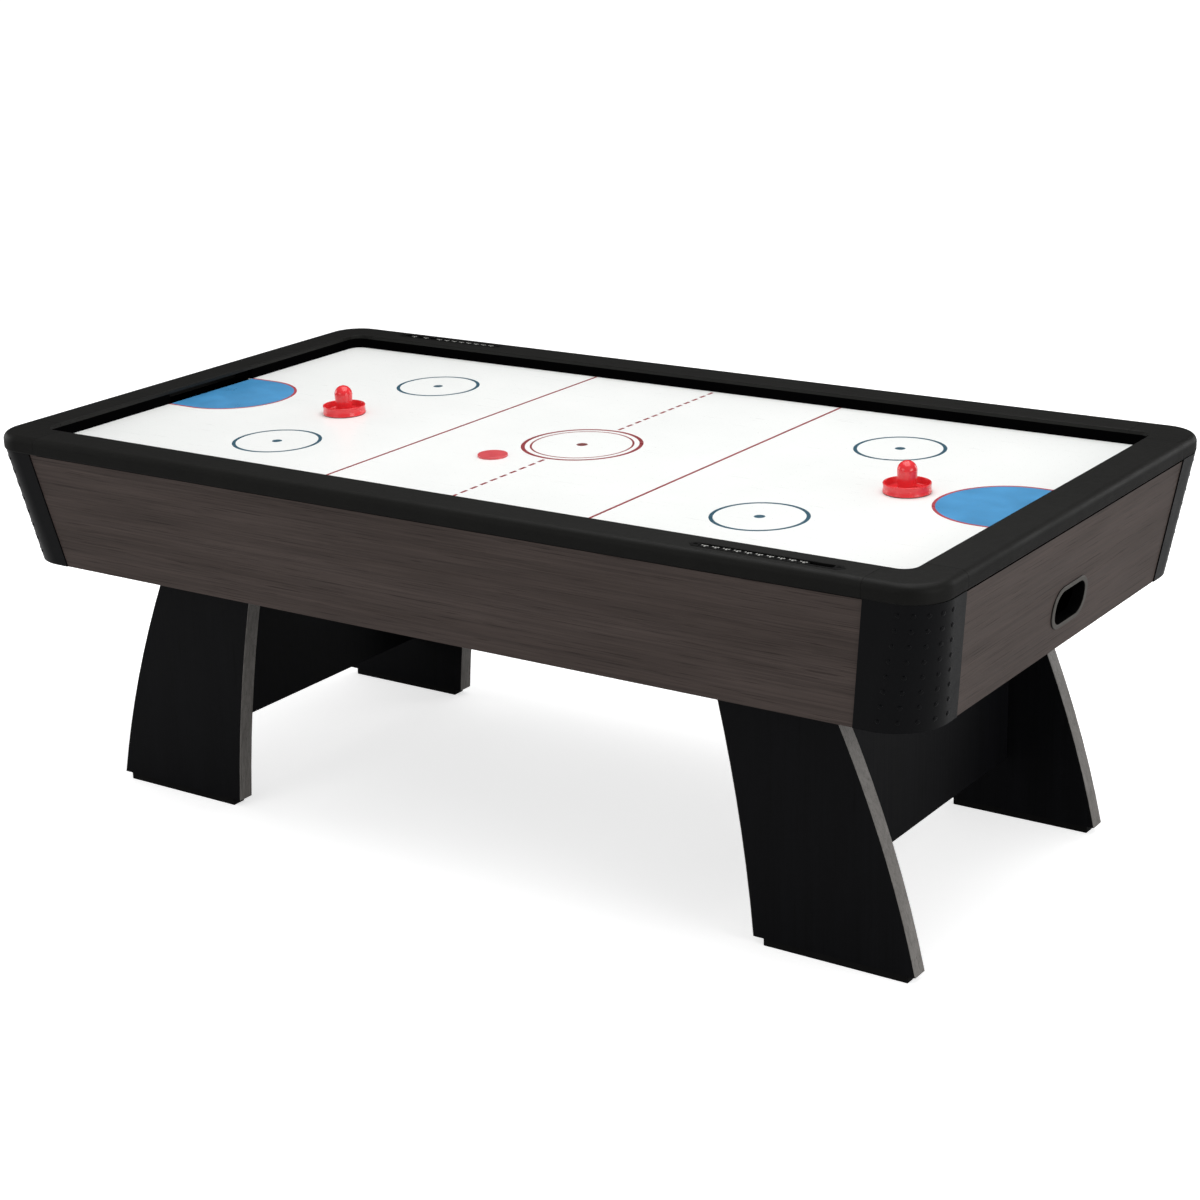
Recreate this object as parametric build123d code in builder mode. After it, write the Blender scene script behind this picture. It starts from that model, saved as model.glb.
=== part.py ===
from build123d import *
import math
import os

os.makedirs("parts", exist_ok=True)

# Air hockey table, 7.5 ft, in millimetres. +Z is up, +X (right) runs along the
# length and +Y points to the back. The origin is on the floor under the centre.

# ---------------------------------------------------------- shared dimensions
SIDES = (-1, 1)

HALF_L, HALF_W = 1143.0, 616.0       # half length and width over the rail
Z_TOP = 850.0                        # top face of the rail
RAIL_T = 36.0
Z_RAIL = Z_TOP - RAIL_T              # underside of the rail
OPEN_L, OPEN_W = 1057.0, 530.0       # half length and width of the rail opening
OPEN_R = 29.0                        # plan radius of the opening corners
LIP_T = 8.0                          # rail lip that covers the puck walls
WALL_T = 13.0                        # puck wall thickness
WELL_L, WELL_W = OPEN_L + WALL_T, OPEN_W + WALL_T   # half size of the pocket under the lip
WELL_R = 3.0
Z_FIELD = 819.0                      # playing surface
FIELD_T = 6.0
GOAL_HW = 140.0                      # half width of the goal slots
SEAM = 0.7                           # open joint between sections

Z_PLENUM = 755.0                     # top of the plenum floor board
PLENUM_FLOOR_T = 6.0
Z_PLENUM_BASE = Z_PLENUM - PLENUM_FLOOR_T
Z_FLOOR = 575.0                      # underside of the cabinet floor
FLOOR_T = 15.0

APRON_L, APRON_W = 1140.0, 608.0     # half length and width over the aprons at the rail
APRON_IN_SIDE = 27.5                 # inward lean of the front and back aprons at the bottom
APRON_IN_END = 37.0                  # inward lean of the end aprons at the bottom
APRON_T = 15.0
Z_APRON = 561.0                      # bottom edge of the aprons
APRON_H = Z_RAIL - Z_APRON
SLOPE_SIDE = APRON_IN_SIDE / APRON_H
SLOPE_END = APRON_IN_END / APRON_H
FIT = APRON_T + 0.3                  # apron board plus a fitting gap

SPACER_XS = (-900, -480, 0, 480, 900)   # spacer blocks along the front and back
SPACER_YS = (-300, 300)                 # spacer blocks along the ends
RAIL_SCREWS = ([(x, side * 565.0) for x in SPACER_XS for side in SIDES]
               + [(side * 1094.0, y) for y in SPACER_YS for side in SIDES])
SCREW_R = 2.5                        # shank radius of the rail and blower screws
FLANGE_SCREW_R = 130.0               # pitch radius of the blower flange screws
GRILLE_SCREW_R = 112.0               # pitch radius of the grille screws
GRILLE_SHANK_R = 2.0
GRILLE_T = 3.5

LEG_IN_Y, LEG_T = 386.0, 37.5        # inner face and thickness of a leg panel
BOLT_XS = [bracket + offset for bracket in (630.0, 745.0) for offset in (-15, 15)]
BOLT_R = 3.0
BOLT_INSET = 22.0                    # floor bolts, inwards from the leg's inner face
BOLT_DROP = 24.0                     # leg bolts, below the cabinet floor

CABLE_R = 3.0
Z_CABLE = 730.0                      # height of the cable's level run
MOTOR_R = 38.0


# -------------------------------------------------------------------- helpers
def save(name, part):
    """Label a piece, write its STEP file and hand it back."""
    part.label = name
    export_step(part, f"parts/{name}.step")
    return part


def save_mirror(name, part, plane):
    """Save the mirror image of a part as a piece of its own."""
    with BuildPart() as twin:
        mirror(part, about=plane)
    return save(name, twin.part)


def save_copies(name, part, places):
    """Save copies of a part at the given places as one piece."""
    with BuildPart() as copies:
        with Locations(*places):
            add(part)
    return save(name, copies.part)


def save_section(name, ring, z, height, centre, size, align=(Align.CENTER, Align.CENTER)):
    """Save what a rectangular block from z upwards takes out of a ring."""
    with BuildPart() as section:
        add(ring)
        with BuildSketch(Plane.XY.offset(z)):
            with Locations(centre):
                Rectangle(*size, align=align)
        extrude(amount=height, mode=Mode.INTERSECT)
    return save(name, section.part)


def add_four_ways(part):
    """Add a part and its images in the other three quarters to the open builder."""
    add(part)
    mirror(part, about=Plane.YZ)
    mirror(part, about=Plane.XZ)
    mirror(part.mirror(Plane.XZ), about=Plane.YZ)


def end_face(z):
    """Distance of the end aprons' outer face from the centre at height z."""
    return APRON_L - APRON_IN_END * (Z_RAIL - z) / APRON_H


def side_face(z):
    """Distance of the front and back aprons' outer face from the centre at height z."""
    return APRON_W - APRON_IN_SIDE * (Z_RAIL - z) / APRON_H


def inside_end(z):
    return end_face(z) - FIT


def inside_side(z):
    return side_face(z) - FIT


def diagonal_points(radius, z):
    """Four points on a circle about the Z axis, on its diagonals."""
    return [(radius * math.cos(math.radians(angle)), radius * math.sin(math.radians(angle)), z)
            for angle in (45, 135, 225, 315)]


# ------------------------------------------------------- score counter layout
TRAY_X, TRAY_Y = 795.5, 577.0
TRAY_PLACES = ((TRAY_X, -TRAY_Y), (-TRAY_X, TRAY_Y))   # front right and back left
TRAY_L, TRAY_W = 321.0, 25.0
TRAY_POINT = 12.0                    # length of the pointed tray ends
TRAY_GAP = 0.3                       # gap between a tray and its recess


def tray_outline(grow):
    """Hexagonal plan of a score tray, enlarged by grow."""
    tip = TRAY_L / 2 + grow
    shoulder = TRAY_L / 2 - TRAY_POINT
    half_width = TRAY_W / 2 + grow
    return [(-tip, 0), (-shoulder, -half_width), (shoulder, -half_width),
            (tip, 0), (shoulder, half_width), (-shoulder, half_width)]


# ------------------------------------------------------------------- top rail
RAIL_R = 80.0                        # plan radius of the outer corners
TOP_EDGE_R, LOW_EDGE_R = 16.0, 5.0   # rounding of the outer edges
OPEN_EDGE_R = 2.5                    # rounding of the opening's top edge
DROP_L, DROP_MARGIN = 54, 12         # puck drop behind a goal: length, extra width
DROP_OFFSET = 35                     # its centre beyond the opening
PILOT_DEPTH = 14
SEAM_X, SEAM_Y = 1005.0, 482.0       # seams on the long sides and on the ends

# The whole rail is shaped once as a ring and then cut at the seams.
with BuildPart() as rail_ring:
    with BuildSketch(Plane.XY.offset(Z_RAIL)):
        RectangleRounded(2 * HALF_L, 2 * HALF_W, RAIL_R)
        RectangleRounded(2 * OPEN_L, 2 * OPEN_W, OPEN_R, mode=Mode.SUBTRACT)
    extrude(amount=RAIL_T)
    fillet(rail_ring.faces().sort_by(Axis.Z)[-1].outer_wire().edges(), TOP_EDGE_R)
    fillet(rail_ring.faces().sort_by(Axis.Z)[0].outer_wire().edges(), LOW_EDGE_R)
    fillet(rail_ring.faces().sort_by(Axis.Z)[-1].inner_wires()[0].edges(), OPEN_EDGE_R)
    # room for the playing surface and the puck walls under the lip
    with BuildSketch(Plane.XY.offset(Z_RAIL)):
        RectangleRounded(2 * WELL_L, 2 * WELL_W, WELL_R)
    extrude(amount=RAIL_T - LIP_T, mode=Mode.SUBTRACT)
    # room for the pucks to drop behind the goals
    with BuildSketch(Plane.XY.offset(Z_RAIL)):
        with Locations((OPEN_L + DROP_OFFSET, 0), (-OPEN_L - DROP_OFFSET, 0)):
            Rectangle(DROP_L, 2 * GOAL_HW + DROP_MARGIN)
    extrude(amount=RAIL_T - LIP_T, mode=Mode.SUBTRACT)
    # pilot holes of the screws that hold the rail from below
    with BuildSketch(Plane.XY.offset(Z_RAIL)):
        with Locations(*RAIL_SCREWS):
            Circle(SCREW_R)
    extrude(amount=PILOT_DEPTH, mode=Mode.SUBTRACT)
    # score counter recesses, 16 deep
    with BuildSketch(Plane.XY.offset(Z_TOP + 2)):
        with Locations(*TRAY_PLACES):
            Polygon(*tray_outline(TRAY_GAP))
    extrude(amount=-18, mode=Mode.SUBTRACT)


def save_rail(name, centre, size, **options):
    return save_section(name, rail_ring.part, Z_RAIL - 5, 60, centre, size, **options)


side_size = (2 * (SEAM_X - SEAM / 2), 200)
save_rail("rail_front", (0, -600), side_size)
save_rail("rail_back", (0, 600), side_size)
rail_end = save_rail("rail_right_end", (1130, 0), (200, 2 * (SEAM_Y - SEAM / 2)))
save_mirror("rail_left_end", rail_end, Plane.YZ)

rail_corner = save_rail("rail_corner_back_right", (SEAM_X + SEAM / 2, SEAM_Y + SEAM / 2),
                        (200, 200), align=(Align.MIN, Align.MIN))
front_rail_corner = save_mirror("rail_corner_front_right", rail_corner, Plane.XZ)
save_mirror("rail_corner_back_left", rail_corner, Plane.YZ)
save_mirror("rail_corner_front_left", front_rail_corner, Plane.YZ)

# ----------------------------------------------------------------- puck walls
WALL_GAP = 0.2                       # gap between the walls and the rail
WALL_H = Z_TOP - LIP_T - Z_FIELD
WALL_JOINT_X = 1019.8                # joints between the side and end walls

with BuildPart() as wall_ring:
    with BuildSketch(Plane.XY.offset(Z_FIELD)):
        RectangleRounded(2 * (WELL_L - WALL_GAP), 2 * (WELL_W - WALL_GAP), WELL_R - WALL_GAP)
        RectangleRounded(2 * OPEN_L, 2 * OPEN_W, OPEN_R, mode=Mode.SUBTRACT)
    extrude(amount=WALL_H)
    # the goals are open up to the rail lip
    with BuildSketch(Plane.XY.offset(Z_FIELD)):
        Rectangle(2 * HALF_L, 2 * GOAL_HW)
    extrude(amount=WALL_H, mode=Mode.SUBTRACT)

side_wall = save_section("puck_wall_front", wall_ring.part, Z_FIELD - 1, 30,
                         (0, -560), (2 * WALL_JOINT_X, 120))
save_mirror("puck_wall_back", side_wall, Plane.XZ)
end_wall = save_section("puck_wall_right_end", wall_ring.part, Z_FIELD - 1, 30,
                        (1080, 0), (120, 1200))
save_mirror("puck_wall_left_end", end_wall, Plane.YZ)

# ------------------------------------------------------------ playing surface
FIELD_GAP = 0.3                      # gap between the board and the rail
FIELD_R = 2.6
NOTCH_L = 100                        # length of the cutters for the goal notches

with BuildPart() as playing_surface:
    with BuildSketch(Plane.XY.offset(Z_FIELD - FIELD_T)):
        RectangleRounded(2 * (WELL_L - FIELD_GAP), 2 * (WELL_W - FIELD_GAP), FIELD_R)
    extrude(amount=FIELD_T)
    with BuildSketch(Plane.XY.offset(Z_FIELD - FIELD_T)):
        with Locations((OPEN_L + NOTCH_L / 2, 0), (-OPEN_L - NOTCH_L / 2, 0)):
            Rectangle(NOTCH_L, 2 * GOAL_HW)
    extrude(amount=FIELD_T, mode=Mode.SUBTRACT)
save("playing_surface", playing_surface.part)

# --------------------------------------------------------------------- plenum
# Air box under the playing surface: frame bars, ribs with air notches, floor.
PLENUM_L, PLENUM_W = 2136, 1082
BAR_T = 18
BAR_GAP = 0.2                        # gap at each end of the cross bars
CROSS_BAR_L = PLENUM_W - 2 * BAR_T - 2 * BAR_GAP
RIB_X = 520
NOTCH_YS = (-400, -200, 0, 200, 400)
NOTCH_W, NOTCH_H, NOTCH_RISE = 110, 20, 34
INTAKE_R = 112                       # blower opening in the floor

with BuildPart() as plenum_frame:
    with BuildSketch(Plane.XY.offset(Z_PLENUM)):
        bar_x = (PLENUM_L - BAR_T) / 2
        bar_y = (PLENUM_W - BAR_T) / 2
        with Locations((0, -bar_y), (0, bar_y)):
            Rectangle(PLENUM_L, BAR_T)
        with Locations((-bar_x, 0), (bar_x, 0)):
            Rectangle(BAR_T, CROSS_BAR_L)
        with Locations((-RIB_X, 0), (RIB_X, 0)):
            Rectangle(BAR_T, CROSS_BAR_L)
    extrude(amount=Z_FIELD - FIELD_T - Z_PLENUM)
    with BuildSketch(Plane.YZ.offset(-560)):
        with Locations(*[(y, Z_PLENUM + NOTCH_RISE) for y in NOTCH_YS]):
            Rectangle(NOTCH_W, NOTCH_H)
    extrude(amount=1120, mode=Mode.SUBTRACT)
save("plenum_frame", plenum_frame.part)

with BuildPart() as plenum_floor:
    with BuildSketch(Plane.XY.offset(Z_PLENUM_BASE)):
        Rectangle(PLENUM_L, PLENUM_W)
        Circle(INTAKE_R, mode=Mode.SUBTRACT)
        with PolarLocations(FLANGE_SCREW_R, 4, start_angle=45):
            Circle(SCREW_R, mode=Mode.SUBTRACT)
    extrude(amount=PLENUM_FLOOR_T)
save("plenum_floor", plenum_floor.part)

# --------------------------------------------------------------------- aprons
# The four sides lean inwards. The boards are flat, with slanting ends that
# meet the corner caps.
CAP_TOP_X, CAP_LOW_X = 1005.0, 971.0   # edges of the right caps on the long sides
CAP_TOP_XL = 1026.0                    # top edge of the left caps on the long sides
CAP_TOP_Y, CAP_LOW_Y = 486.0, 444.0    # cap edges on the ends

with BuildPart() as apron_front:
    with BuildSketch(Plane.YZ.offset(-1100)):
        with BuildLine():
            Polyline((-side_face(Z_APRON), Z_APRON), (-side_face(Z_APRON) + APRON_T, Z_APRON),
                     (-APRON_W + APRON_T, Z_RAIL), (-APRON_W, Z_RAIL), close=True)
        make_face()
    extrude(amount=2200)
    with BuildSketch(Plane.XZ):
        with BuildLine():
            Polyline((-CAP_LOW_X + SEAM / 2, Z_APRON), (CAP_LOW_X - SEAM / 2, Z_APRON),
                     (CAP_TOP_X - SEAM / 2, Z_RAIL), (-CAP_TOP_XL + SEAM / 2, Z_RAIL),
                     close=True)
        make_face()
    extrude(amount=700, mode=Mode.INTERSECT)
save("apron_front", apron_front.part)
save_mirror("apron_back", apron_front.part, Plane.XZ)

# puck-return opening in the end aprons
PORT_Z = 648.0                       # centre height
PORT_W, PORT_H, PORT_R = 130.0, 68.0, 30.0
PORT_CUT = 3.3                       # how far the cut reaches round the bezel's opening
LEAN = math.atan(SLOPE_END)
# lies on the outer face of the right end apron
port_plane = Plane(origin=(end_face(PORT_Z), 0, PORT_Z), x_dir=(0, 1, 0),
                   z_dir=(math.cos(LEAN), 0, -math.sin(LEAN)))


def port_size(grow):
    """Width, height and corner radius of the port, enlarged by grow all round."""
    return PORT_W + 2 * grow, PORT_H + 2 * grow, PORT_R + grow


with BuildPart() as apron_right_end:
    with BuildSketch(Plane.XZ.offset(-600)):
        with BuildLine():
            Polyline((end_face(Z_APRON) - APRON_T, Z_APRON), (end_face(Z_APRON), Z_APRON),
                     (APRON_L, Z_RAIL), (APRON_L - APRON_T, Z_RAIL), close=True)
        make_face()
    extrude(amount=1200)
    with BuildSketch(Plane.YZ):
        with BuildLine():
            Polyline((-CAP_LOW_Y + SEAM / 2, Z_APRON), (CAP_LOW_Y - SEAM / 2, Z_APRON),
                     (CAP_TOP_Y - SEAM / 2, Z_RAIL), (-CAP_TOP_Y + SEAM / 2, Z_RAIL),
                     close=True)
        make_face()
    extrude(amount=1200, mode=Mode.INTERSECT)
    with BuildSketch(port_plane.offset(-30)):
        RectangleRounded(*port_size(PORT_CUT))
    extrude(amount=60, mode=Mode.SUBTRACT)
save("apron_right_end", apron_right_end.part)
save_mirror("apron_left_end", apron_right_end.part, Plane.YZ)

# ---------------------------------------------------------- apron corner caps
# Each cap is a thin curved wall that leans in along both directions.
CAP_R_LOW, CAP_R_TOP = 101.0, 74.0   # plan radius at the bottom and at the top
CAP_PROUD = 2.6                      # how far the caps stand proud of the boards
CAP_T = 4.5
CAP_BLOCK = 400                      # plan size of the lofted blocks


def corner_cap(top_x):
    """Cap of the back right corner, with its long-side edge at top_x under the rail."""
    with BuildPart() as cap:
        # outer block, then the hollow that leaves the wall
        for grow, mode in ((CAP_PROUD, Mode.ADD), (CAP_PROUD - CAP_T, Mode.SUBTRACT)):
            for z, radius in ((Z_APRON, CAP_R_LOW), (Z_RAIL, CAP_R_TOP)):
                with BuildSketch(Plane.XY.offset(z)):
                    with Locations((end_face(z) + grow, side_face(z) + grow)):
                        RectangleRounded(CAP_BLOCK, CAP_BLOCK, radius + grow,
                                         align=(Align.MAX, Align.MAX))
            loft(ruled=True, mode=mode)
        with BuildSketch(Plane.XZ.offset(-700)):
            with BuildLine():
                Polyline((CAP_LOW_X + SEAM / 2, Z_APRON), (1300, Z_APRON), (1300, Z_RAIL),
                         (top_x + SEAM / 2, Z_RAIL), close=True)
            make_face()
        extrude(amount=700, mode=Mode.INTERSECT)
        with BuildSketch(Plane.YZ.offset(900)):
            with BuildLine():
                Polyline((CAP_LOW_Y + SEAM / 2, Z_APRON), (800, Z_APRON), (800, Z_RAIL),
                         (CAP_TOP_Y + SEAM / 2, Z_RAIL), close=True)
            make_face()
        extrude(amount=400, mode=Mode.INTERSECT)
    return cap.part


right_cap = save("apron_corner_back_right", corner_cap(CAP_TOP_X))
save_mirror("apron_corner_front_right", right_cap, Plane.XZ)
left_cap = save_mirror("apron_corner_back_left", corner_cap(CAP_TOP_XL), Plane.YZ)
save_mirror("apron_corner_front_left", left_cap, Plane.XZ)

# --------------------------------------------------------- inner frame blocks
# Corner posts join neighbouring aprons. Spacer blocks fill the space between
# the plenum and the aprons and take the rail screws.
Z_POST, Z_POST_TOP = Z_FLOOR + FLOOR_T, 745.0
POST_X, POST_Y = inside_end(Z_POST), inside_side(Z_POST)
POST_ARM = 140                       # reach along each apron
POST_BEVEL = 50                      # outer corner cut
POST_T = 48                          # width of the arm ends
SLANT = math.sqrt(1.0 + SLOPE_END ** 2 + SLOPE_SIDE ** 2)   # post length per unit height
Z_SPACER = Z_PLENUM + 2
SPACER_L = 90
SPACER_GAP = 0.3                     # gap between the blocks and the well line

with BuildPart() as corner_post:
    with BuildSketch(Plane.XY.offset(Z_POST)):
        with BuildLine():
            Polyline((POST_X, POST_Y - POST_ARM), (POST_X, POST_Y - POST_BEVEL),
                     (POST_X - POST_BEVEL, POST_Y), (POST_X - POST_ARM, POST_Y),
                     (POST_X - POST_ARM, POST_Y - POST_T), (POST_X - POST_T, POST_Y - POST_ARM),
                     close=True)
        make_face()
    extrude(amount=(Z_POST_TOP - Z_POST) * SLANT, dir=(SLOPE_END, SLOPE_SIDE, 1))


def spacer_outline(side, inner, outer):
    """Cross-section of a spacer block; outer gives its outer face at a height."""
    return [(side * inner, Z_SPACER), (side * outer(Z_SPACER), Z_SPACER),
            (side * outer(Z_RAIL), Z_RAIL), (side * inner, Z_RAIL)]


with BuildPart() as frame_blocks:
    for x in SPACER_XS:
        with BuildSketch(Plane.YZ.offset(x - SPACER_L / 2)):
            for side in SIDES:
                with BuildLine():
                    Polyline(*spacer_outline(side, WELL_W + SPACER_GAP, inside_side), close=True)
                make_face()
        extrude(amount=SPACER_L)
    for y in SPACER_YS:
        with BuildSketch(Plane.XZ.offset(-y - SPACER_L / 2)):
            for side in SIDES:
                with BuildLine():
                    Polyline(*spacer_outline(side, WELL_L + SPACER_GAP, inside_end), close=True)
                make_face()
        extrude(amount=SPACER_L)
    with BuildSketch(Plane.XY.offset(Z_PLENUM)):
        with Locations(*RAIL_SCREWS):
            Circle(SCREW_R)
    extrude(amount=70, mode=Mode.SUBTRACT)
    add_four_ways(corner_post.part)
save("frame_blocks", frame_blocks.part)

# ------------------------------------------------- cabinet floor and grille
POWER_X, POWER_Y = -300.0, 480.0     # centre of the power panel
PANEL_CUT = (74, 36)                 # opening for the power panel
FLOOR_CHAMFER = 50
VENT_R = 105
GRILLE_R, SLOT_FIELD_R = 120, 98.0   # grille, and the circle that bounds its slots
SLOT_PITCH, SLOT_W = 17.0, 9

with BuildPart() as cabinet_floor:
    with BuildSketch(Plane.XY.offset(Z_FLOOR)) as floor_sketch:
        Rectangle(2 * inside_end(Z_FLOOR), 2 * inside_side(Z_FLOOR))
        chamfer(floor_sketch.vertices(), FLOOR_CHAMFER)
        Circle(VENT_R, mode=Mode.SUBTRACT)
        with PolarLocations(GRILLE_SCREW_R, 4, start_angle=45):
            Circle(GRILLE_SHANK_R, mode=Mode.SUBTRACT)
        with Locations(*[(side_x * x, side_y * (LEG_IN_Y - BOLT_INSET))
                         for side_x in SIDES for side_y in SIDES for x in BOLT_XS]):
            Circle(BOLT_R, mode=Mode.SUBTRACT)
        with Locations((POWER_X, POWER_Y)):
            Rectangle(*PANEL_CUT, mode=Mode.SUBTRACT)
    extrude(amount=FLOOR_T)
save("cabinet_floor", cabinet_floor.part)

with BuildPart() as air_grille:
    with BuildSketch(Plane.XY.offset(Z_FLOOR - GRILLE_T)):
        Circle(GRILLE_R)
        for i in range(-5, 6):
            slot_y = SLOT_PITCH * i
            slot_length = 2 * math.sqrt(SLOT_FIELD_R ** 2 - slot_y ** 2)
            with Locations((0, slot_y)):
                SlotOverall(slot_length, SLOT_W, mode=Mode.SUBTRACT)
        with PolarLocations(GRILLE_SCREW_R, 4, start_angle=45):
            Circle(GRILLE_SHANK_R, mode=Mode.SUBTRACT)
    extrude(amount=GRILLE_T)
save("air_grille", air_grille.part)

# --------------------------------------------------------- puck-return boxes
BOX_HW = 150                         # half width
BOX_T = 6                            # thickness of the sides, inner wall and step
BOX_TOP, BOX_LOW = 812.5, 600
BOX_STEP_Z = 742                     # top of the step under the plenum
BOX_X, BOX_NECK_X = 985, 1071.5      # inner wall below and above the step
NECK_T = 4                           # wall thickness above the step
FRONT_T = 5                          # thickness of the wall against the apron

with BuildPart() as puck_return_right:
    with BuildSketch(Plane.XZ.offset(-BOX_HW)):
        with BuildLine():
            Polyline((BOX_NECK_X, BOX_TOP), (inside_end(BOX_TOP), BOX_TOP),
                     (inside_end(BOX_LOW), BOX_LOW), (BOX_X, BOX_LOW),
                     (BOX_X, BOX_STEP_Z), (BOX_NECK_X, BOX_STEP_Z), close=True)
        make_face()
    extrude(amount=2 * BOX_HW)
    # hollow, open at the top, with a floor that slopes down towards the port
    with BuildSketch(Plane.XZ.offset(-BOX_HW + BOX_T)):
        with BuildLine():
            Polyline((BOX_NECK_X + NECK_T, 830), (inside_end(830) - FRONT_T, 830),
                     (inside_end(610) - FRONT_T, 610), (BOX_X + BOX_T, 638),
                     (BOX_X + BOX_T, BOX_STEP_Z - BOX_T),
                     (BOX_NECK_X + NECK_T, BOX_STEP_Z - BOX_T), close=True)
        make_face()
    extrude(amount=2 * (BOX_HW - BOX_T), mode=Mode.SUBTRACT)
    with BuildSketch(port_plane.offset(-30)):
        RectangleRounded(*port_size(PORT_CUT))
    extrude(amount=60, mode=Mode.SUBTRACT)
save("puck_return_right", puck_return_right.part)
save_mirror("puck_return_left", puck_return_right.part, Plane.YZ)

BEZEL_GAP = 0.05                     # gap between the bezel and the apron
BEZEL_T = 3.2
SLEEVE_L, SLEEVE_T = 21.5, 3         # sleeve through the apron and the box wall
BEZEL_RIM_R, BEZEL_HOLE_R = 2.4, 1.4   # rounding of the outer and inner edges


def faces_outwards(face):
    return face.normal_at().dot(port_plane.z_dir) > 0.999


with BuildPart() as return_bezel_right:
    with BuildSketch(port_plane.offset(BEZEL_GAP)):
        RectangleRounded(PORT_W + 24, PORT_H + 18, PORT_R + 9)
    extrude(amount=BEZEL_T)
    with BuildSketch(port_plane.offset(BEZEL_GAP)):
        RectangleRounded(*port_size(SLEEVE_T))
    extrude(amount=-SLEEVE_L)
    with BuildSketch(port_plane.offset(-30)):
        RectangleRounded(*port_size(0))
    extrude(amount=60, mode=Mode.SUBTRACT)
    rim = return_bezel_right.faces().filter_by(faces_outwards).sort_by(SortBy.AREA)[-1]
    fillet(rim.outer_wire().edges(), BEZEL_RIM_R)
    rim = return_bezel_right.faces().filter_by(faces_outwards).sort_by(SortBy.AREA)[-1]
    fillet(rim.inner_wires()[0].edges(), BEZEL_HOLE_R)
save("return_bezel_right", return_bezel_right.part)
save_mirror("return_bezel_left", return_bezel_right.part, Plane.YZ)

# ------------------------------------------------------------- score counters
TRAY_DEPTH, TRAY_H = 15.5, 16.2      # depth below the rail top, full height
TRAY_CHAMFER = 0.6
CHAN_L, CHAN_W, CHAN_R = 275.0, 15.0, 3.0   # channel for the beads
HOLLOW_R, HOLLOW_INSET = 4.2, 14.0   # finger hollows, inset from the tray tips
ROD_R = 1.5
ROD_L = CHAN_L + 8
Z_ROD = 844.5
BEAD_PITCH, BEAD_L, BEAD_R = 22.6, 22.4, 6.2
BEAD_CHAMFER = 1.6
GROOVE_DEPTH = 0.7
GROOVE_TOP, GROOVE_BASE = 3.2, 2.4   # half width of the groove at its top and base

with BuildPart() as score_tray_front:
    with BuildSketch(Plane.XY.offset(Z_TOP - TRAY_DEPTH)):
        with Locations(TRAY_PLACES[0]):
            Polygon(*tray_outline(0))
    extrude(amount=TRAY_H)
    chamfer(score_tray_front.faces().sort_by(Axis.Z)[-1].outer_wire().edges(), TRAY_CHAMFER)
    with BuildSketch(Plane.XY.offset(Z_TOP + 2)):
        with Locations(TRAY_PLACES[0]):
            RectangleRounded(CHAN_L, CHAN_W, CHAN_R)
    extrude(amount=-14.7, mode=Mode.SUBTRACT)
    with BuildSketch(Plane.YZ.offset(TRAY_X - ROD_L / 2)):
        with Locations((-TRAY_Y, Z_ROD)):
            Circle(ROD_R)
    extrude(amount=ROD_L, mode=Mode.SUBTRACT)
    # shallow finger hollows in both pointed ends
    with BuildSketch(Plane.XY.offset(Z_TOP + 2)):
        with Locations(*[(TRAY_X + side * (TRAY_L / 2 - HOLLOW_INSET), -TRAY_Y)
                         for side in SIDES]):
            Circle(HOLLOW_R)
    extrude(amount=-2.4, mode=Mode.SUBTRACT)
save("score_tray_front", score_tray_front.part)
save_mirror("score_tray_back", score_tray_front.part.mirror(Plane.XZ), Plane.YZ)

with BuildPart() as score_rods:
    for tray_x, tray_y in TRAY_PLACES:
        with BuildSketch(Plane.YZ.offset(tray_x - ROD_L / 2)):
            with Locations((tray_y, Z_ROD)):
                Circle(ROD_R)
        extrude(amount=ROD_L)
save("score_rods", score_rods.part)

# one bead, centred on the origin, its bore along X, with a groove round its middle
with BuildPart() as bead:
    with BuildSketch(Plane.XZ):
        bead_end, bore_r = BEAD_L / 2, ROD_R + 0.05
        with BuildLine():
            Polyline((-bead_end, bore_r), (-bead_end, BEAD_R - BEAD_CHAMFER),
                     (-bead_end + BEAD_CHAMFER, BEAD_R), (-GROOVE_TOP, BEAD_R),
                     (-GROOVE_BASE, BEAD_R - GROOVE_DEPTH), (GROOVE_BASE, BEAD_R - GROOVE_DEPTH),
                     (GROOVE_TOP, BEAD_R), (bead_end - BEAD_CHAMFER, BEAD_R),
                     (bead_end, BEAD_R - BEAD_CHAMFER), (bead_end, bore_r), close=True)
        make_face()
    revolve(axis=Axis.X)


def bead_xs(count):
    """Centres of a row of beads that starts at the left end of the front channel."""
    return [TRAY_X - CHAN_L / 2 + (i + 0.5) * BEAD_PITCH for i in range(count)]


save_copies("score_beads_front", bead.part, [(x, -TRAY_Y, Z_ROD) for x in bead_xs(10)])
save_copies("score_bead_back_1", bead.part, [(-906.4, TRAY_Y, Z_ROD)])
save_copies("score_bead_back_2", bead.part, [(-869.9, TRAY_Y, Z_ROD)])
save_copies("score_beads_back", bead.part, [(-x, TRAY_Y, Z_ROD) for x in bead_xs(8)])

# ----------------------------------------------------------------------- legs
# Coefficients of x = a + b*s + c*s*s along the curved leg edges, s = z / 500.
LEG_OUTER = (1021.5, -105.7, -64.0)
LEG_INNER = (667.2, -37.0, -39.1)
CURVE_UNIT = 500.0
BAND_T = 1.2                         # edge band on the curved leg edges
FOOT_H = 16.0
FOOT_X, FOOT_L, FOOT_R = 844.3, 314, 2.0
CROSS_X, CROSS_T, CROSS_Z = 805.0, 18.0, 136.0   # cross panel: centre, thickness, bottom


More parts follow.
